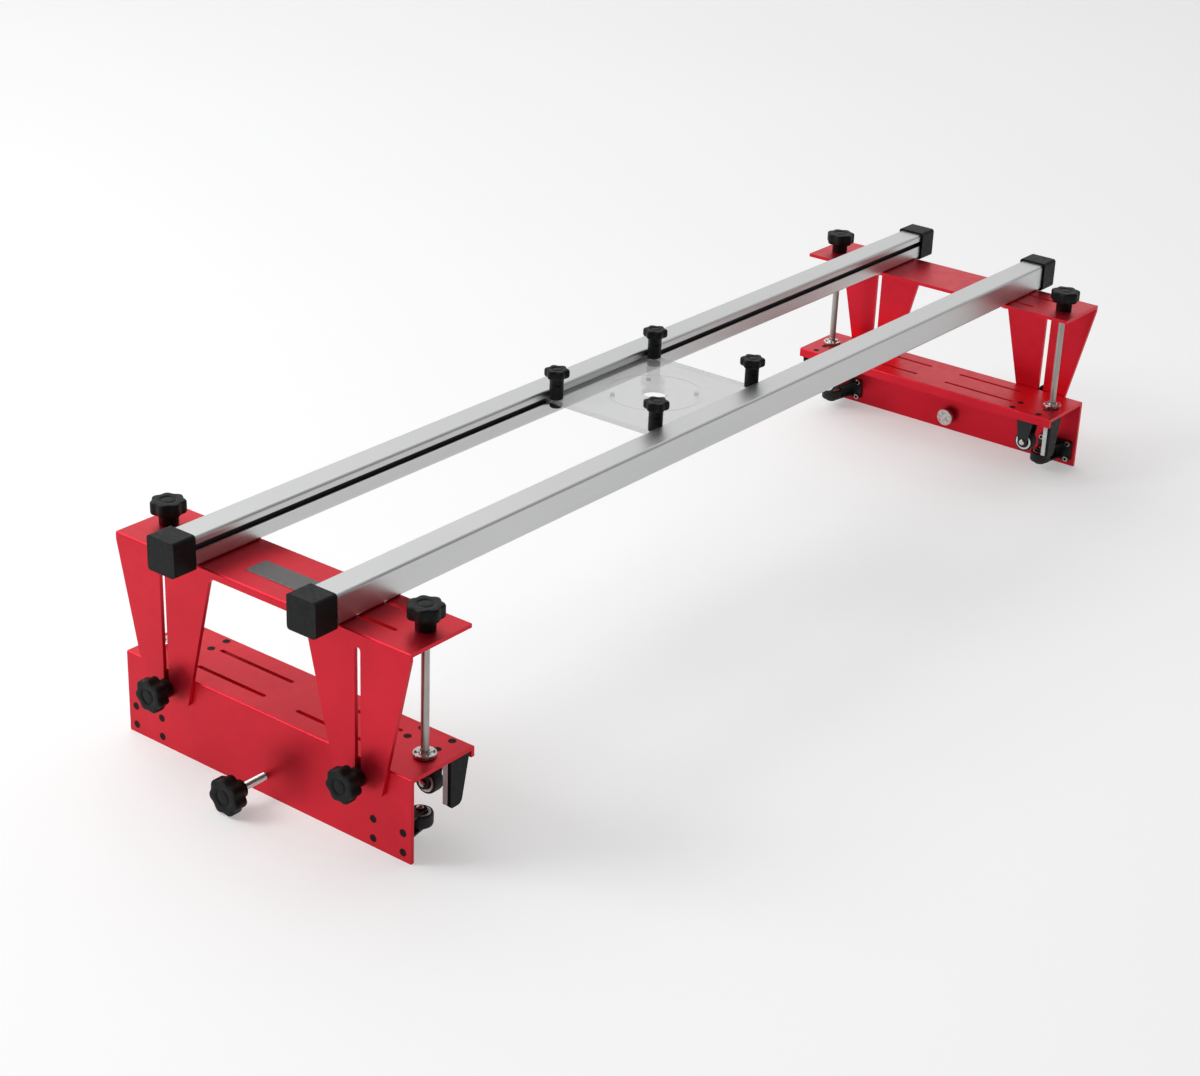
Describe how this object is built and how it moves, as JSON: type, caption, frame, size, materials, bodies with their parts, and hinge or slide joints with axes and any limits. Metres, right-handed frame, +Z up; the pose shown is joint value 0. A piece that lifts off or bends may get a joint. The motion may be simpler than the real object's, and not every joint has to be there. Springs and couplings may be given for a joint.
{
  "type": "router sled",
  "caption": "Slab-flattening router sled: aluminium rails on red height-adjustable rolling end carriages, with a clear sliding router plate and star-knob clamps.",
  "frame": {"origin": "centre of the bounding box in X and Y, on the bottom edges of the two skirts", "axes": "+X along the rails from the near end to the far end, +Y from the front rail to the rear rail, +Z up"},
  "size_m": [1.341, 0.37, 0.2674],
  "materials": {
    "red_sheet": "satin red anodised",
    "aluminium": "satin anodised",
    "bright_steel": "bright zinc-plated",
    "black_plastic": "fine matte texture",
    "black_steel": "black electrophoretic coat",
    "wheel": "matte tyre with a pale hub ring",
    "acrylic": "clear polished acrylic"
  },
  "bodies": {
    "sled_frame": {"rail_front": "aluminium", "rail_rear": "aluminium", "rail_cap_near_front": "black_plastic", "rail_cap_near_rear": "black_plastic", "rail_cap_far_front": "black_plastic", "rail_cap_far_rear": "black_plastic", "near_saddle": "red_sheet", "far_saddle": "red_sheet"},
    "near_end": {"near_carriage": "red_sheet", "near_screw_nut_front": "bright_steel", "near_screw_nut_rear": "bright_steel", "near_top_caster_front": "black_steel", "near_top_caster_rear": "black_steel", "near_side_caster_front": "black_steel", "near_side_caster_rear": "black_steel", "near_end_guard_front": "black_plastic", "near_end_guard_rear": "black_plastic"},
    "near_screw_front": {"near_height_screw_front": "bright_steel", "near_height_knob_front": "black_plastic"},
    "near_screw_rear": {"near_height_screw_rear": "bright_steel", "near_height_knob_rear": "black_plastic"},
    "near_leg_knob_front": {"near_leg_lock_front": "black_plastic"},
    "near_leg_knob_rear": {"near_leg_lock_rear": "black_plastic"},
    "near_pad": {"near_lock_pad": "bright_steel"},
    "near_lock_screw": {"near_edge_lock": "black_plastic"},
    "near_top_roller_front": {"near_top_wheel_front": "wheel"},
    "near_side_roller_front": {"near_side_wheel_front": "wheel"},
    "near_top_roller_rear": {"near_top_wheel_rear": "wheel"},
    "near_side_roller_rear": {"near_side_wheel_rear": "wheel"},
    "far_end": {"far_carriage": "red_sheet", "far_screw_nut_front": "bright_steel", "far_screw_nut_rear": "bright_steel", "far_top_caster_front": "black_steel", "far_top_caster_rear": "black_steel", "far_side_caster_front": "black_steel", "far_side_caster_rear": "black_steel", "far_end_guard_front": "black_plastic", "far_end_guard_rear": "black_plastic"},
    "far_screw_front": {"far_height_screw_front": "bright_steel", "far_height_knob_front": "black_plastic"},
    "far_screw_rear": {"far_height_screw_rear": "bright_steel", "far_height_knob_rear": "black_plastic"},
    "far_leg_knob_front": {"far_leg_lock_front": "black_plastic"},
    "far_leg_knob_rear": {"far_leg_lock_rear": "black_plastic"},
    "far_pad": {"far_lock_pad": "bright_steel"},
    "far_lock_screw": {"far_edge_lock": "black_plastic"},
    "far_top_roller_front": {"far_top_wheel_front": "wheel"},
    "far_side_roller_front": {"far_side_wheel_front": "wheel"},
    "far_top_roller_rear": {"far_top_wheel_rear": "wheel"},
    "far_side_roller_rear": {"far_side_wheel_rear": "wheel"},
    "router_slide": {"router_plate": "acrylic", "plate_clamp_near_front": "black_plastic", "plate_clamp_near_rear": "black_plastic", "plate_clamp_far_front": "black_plastic", "plate_clamp_far_rear": "black_plastic"},
    "clamp_near_front": {"clamp_knob_near_front": "black_plastic"},
    "clamp_near_rear": {"clamp_knob_near_rear": "black_plastic"},
    "clamp_far_front": {"clamp_knob_far_front": "black_plastic"},
    "clamp_far_rear": {"clamp_knob_far_rear": "black_plastic"}
  },
  "joints": [
    {"name": "near_height", "type": "slide", "parent": "sled_frame", "child": "near_end", "axis": [0, 0, 1], "range_m": [0, 0.044]},
    {"name": "near_screw_front_turn", "type": "hinge", "parent": "sled_frame", "child": "near_screw_front", "pos_m": [-0.577, -0.162, 0.15], "axis": [0, 0, 1], "range_deg": [-1981, 0]},
    {"name": "near_screw_rear_turn", "type": "hinge", "parent": "sled_frame", "child": "near_screw_rear", "pos_m": [-0.577, 0.162, 0.15], "axis": [0, 0, 1], "range_deg": [-1981, 0]},
    {"name": "near_leg_knob_front_turn", "type": "hinge", "parent": "near_end", "child": "near_leg_knob_front", "pos_m": [-0.63, -0.1235, 0.069], "axis": [-1, 0, 0], "range_deg": [0, 720]},
    {"name": "near_leg_knob_rear_turn", "type": "hinge", "parent": "near_end", "child": "near_leg_knob_rear", "pos_m": [-0.63, 0.1235, 0.069], "axis": [-1, 0, 0], "range_deg": [0, 720]},
    {"name": "near_pad_slide", "type": "slide", "parent": "near_end", "child": "near_pad", "axis": [1, 0, 0], "range_m": [0, 0.0281]},
    {"name": "near_lock_turn", "type": "hinge", "parent": "near_pad", "child": "near_lock_screw", "pos_m": [-0.663, 0, 0.019], "axis": [1, 0, 0], "range_deg": [0, 8064]},
    {"name": "near_top_roller_front_spin", "type": "hinge", "parent": "near_end", "child": "near_top_roller_front", "pos_m": [-0.5515, -0.145, 0.0437], "axis": [1, 0, 0], "continuous": true},
    {"name": "near_side_roller_front_spin", "type": "hinge", "parent": "near_end", "child": "near_side_roller_front", "pos_m": [-0.5757, -0.1555, 0.019], "axis": [0, 0, 1], "continuous": true},
    {"name": "near_top_roller_rear_spin", "type": "hinge", "parent": "near_end", "child": "near_top_roller_rear", "pos_m": [-0.5515, 0.145, 0.0437], "axis": [1, 0, 0], "continuous": true},
    {"name": "near_side_roller_rear_spin", "type": "hinge", "parent": "near_end", "child": "near_side_roller_rear", "pos_m": [-0.5757, 0.1555, 0.019], "axis": [0, 0, 1], "continuous": true},
    {"name": "far_height", "type": "slide", "parent": "sled_frame", "child": "far_end", "axis": [0, 0, 1], "range_m": [0, 0.044]},
    {"name": "far_screw_front_turn", "type": "hinge", "parent": "sled_frame", "child": "far_screw_front", "pos_m": [0.577, -0.162, 0.15], "axis": [0, 0, 1], "range_deg": [-1981, 0]},
    {"name": "far_screw_rear_turn", "type": "hinge", "parent": "sled_frame", "child": "far_screw_rear", "pos_m": [0.577, 0.162, 0.15], "axis": [0, 0, 1], "range_deg": [-1981, 0]},
    {"name": "far_leg_knob_front_turn", "type": "hinge", "parent": "far_end", "child": "far_leg_knob_front", "pos_m": [0.63, -0.1235, 0.069], "axis": [1, 0, 0], "range_deg": [0, 720]},
    {"name": "far_leg_knob_rear_turn", "type": "hinge", "parent": "far_end", "child": "far_leg_knob_rear", "pos_m": [0.63, 0.1235, 0.069], "axis": [1, 0, 0], "range_deg": [0, 720]},
    {"name": "far_pad_slide", "type": "slide", "parent": "far_end", "child": "far_pad", "axis": [-1, 0, 0], "range_m": [0, 0.0281]},
    {"name": "far_lock_turn", "type": "hinge", "parent": "far_pad", "child": "far_lock_screw", "pos_m": [0.663, 0, 0.019], "axis": [-1, 0, 0], "range_deg": [0, 8064]},
    {"name": "far_top_roller_front_spin", "type": "hinge", "parent": "far_end", "child": "far_top_roller_front", "pos_m": [0.5515, -0.145, 0.0437], "axis": [1, 0, 0], "continuous": true},
    {"name": "far_side_roller_front_spin", "type": "hinge", "parent": "far_end", "child": "far_side_roller_front", "pos_m": [0.5757, -0.1555, 0.019], "axis": [0, 0, 1], "continuous": true},
    {"name": "far_top_roller_rear_spin", "type": "hinge", "parent": "far_end", "child": "far_top_roller_rear", "pos_m": [0.5515, 0.145, 0.0437], "axis": [1, 0, 0], "continuous": true},
    {"name": "far_side_roller_rear_spin", "type": "hinge", "parent": "far_end", "child": "far_side_roller_rear", "pos_m": [0.5757, 0.1555, 0.019], "axis": [0, 0, 1], "continuous": true},
    {"name": "router_slide_x", "type": "slide", "parent": "sled_frame", "child": "router_slide", "axis": [1, 0, 0], "range_m": [-0.494, 0.566]},
    {"name": "clamp_near_front_turn", "type": "hinge", "parent": "router_slide", "child": "clamp_near_front", "pos_m": [-0.1205, -0.0652, 0.26], "axis": [0, 0, 1], "range_deg": [0, 540]},
    {"name": "clamp_near_rear_turn", "type": "hinge", "parent": "router_slide", "child": "clamp_near_rear", "pos_m": [-0.1205, 0.0652, 0.26], "axis": [0, 0, 1], "range_deg": [0, 540]},
    {"name": "clamp_far_front_turn", "type": "hinge", "parent": "router_slide", "child": "clamp_far_front", "pos_m": [0.0505, -0.0652, 0.26], "axis": [0, 0, 1], "range_deg": [0, 540]},
    {"name": "clamp_far_rear_turn", "type": "hinge", "parent": "router_slide", "child": "clamp_far_rear", "pos_m": [0.0505, 0.0652, 0.26], "axis": [0, 0, 1], "range_deg": [0, 540]}
  ],
  "couplings": [
    {"joint": "near_screw_front_turn", "follows": "near_height", "rad_per_m": -785.4},
    {"joint": "near_screw_rear_turn", "follows": "near_height", "rad_per_m": -785.4},
    {"joint": "near_pad_slide", "follows": "near_lock_turn", "m_per_rad": 0.00019894},
    {"joint": "far_screw_front_turn", "follows": "far_height", "rad_per_m": -785.4},
    {"joint": "far_screw_rear_turn", "follows": "far_height", "rad_per_m": -785.4},
    {"joint": "far_pad_slide", "follows": "far_lock_turn", "m_per_rad": 0.00019894}
  ]
}
